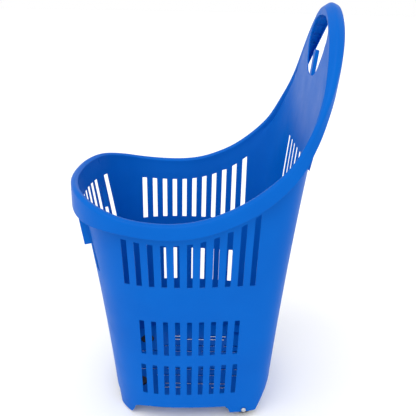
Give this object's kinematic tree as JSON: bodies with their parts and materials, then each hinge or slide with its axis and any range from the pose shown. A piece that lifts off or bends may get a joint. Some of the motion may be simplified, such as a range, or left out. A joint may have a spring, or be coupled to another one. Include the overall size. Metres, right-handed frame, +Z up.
{
  "type": "rolling shopping basket",
  "caption": "Tall one-piece slotted plastic shopping basket with a rolled rim that rises into a looped pull handle, on swivel front castors and fixed rear wheels.",
  "frame": {"origin": "on the ground, at the middle of the bounding box", "axes": "+Z up, +X across the width, -Y towards the front, +Y towards the handle"},
  "size_m": [0.4704, 0.543, 0.892],
  "materials": {
    "basket_blue": "satin injection-moulded polypropylene",
    "black_plastic": "moulded nylon, fine grain",
    "grey_rubber": "soft non-marking tread",
    "zinc_steel": "bright zinc plated",
    "white_nylon": "natural nylon"
  },
  "bodies": {
    "basket_frame": {"basket": "basket_blue", "right_castor_cap": "black_plastic", "right_castor_stem": "zinc_steel", "right_swivel_race": "zinc_steel", "right_axle_pin": "zinc_steel", "right_thrust_washer": "white_nylon", "right_push_nut": "zinc_steel", "left_castor_cap": "black_plastic", "left_castor_stem": "zinc_steel", "left_swivel_race": "zinc_steel", "left_axle_pin": "zinc_steel", "left_thrust_washer": "white_nylon", "left_push_nut": "zinc_steel"},
    "right_castor_yoke": {"right_castor_fork": "black_plastic", "right_castor_axle": "zinc_steel"},
    "right_castor_roller": {"right_castor_tyre": "grey_rubber", "right_castor_hub": "black_plastic"},
    "right_rear_roller": {"right_wheel_tyre": "grey_rubber", "right_wheel_hub": "black_plastic"},
    "left_castor_yoke": {"left_castor_fork": "black_plastic", "left_castor_axle": "zinc_steel"},
    "left_castor_roller": {"left_castor_tyre": "grey_rubber", "left_castor_hub": "black_plastic"},
    "left_rear_roller": {"left_wheel_tyre": "grey_rubber", "left_wheel_hub": "black_plastic"}
  },
  "joints": [
    {"name": "right_castor_swivel", "type": "hinge", "parent": "basket_frame", "child": "right_castor_yoke", "pos_m": [0.086, -0.13015, 0.034], "axis": [0, 0, 1], "continuous": true},
    {"name": "right_castor_roll", "type": "hinge", "parent": "right_castor_yoke", "child": "right_castor_roller", "pos_m": [0.086, -0.11615, 0.015], "axis": [1, 0, 0], "continuous": true},
    {"name": "right_rear_roll", "type": "hinge", "parent": "basket_frame", "child": "right_rear_roller", "pos_m": [0.1285, 0.10985, 0.0235], "axis": [1, 0, 0], "continuous": true},
    {"name": "left_castor_swivel", "type": "hinge", "parent": "basket_frame", "child": "left_castor_yoke", "pos_m": [-0.086, -0.13015, 0.034], "axis": [0, 0, 1], "continuous": true},
    {"name": "left_castor_roll", "type": "hinge", "parent": "left_castor_yoke", "child": "left_castor_roller", "pos_m": [-0.086, -0.11615, 0.015], "axis": [1, 0, 0], "continuous": true},
    {"name": "left_rear_roll", "type": "hinge", "parent": "basket_frame", "child": "left_rear_roller", "pos_m": [-0.1285, 0.10985, 0.0235], "axis": [1, 0, 0], "continuous": true}
  ]
}
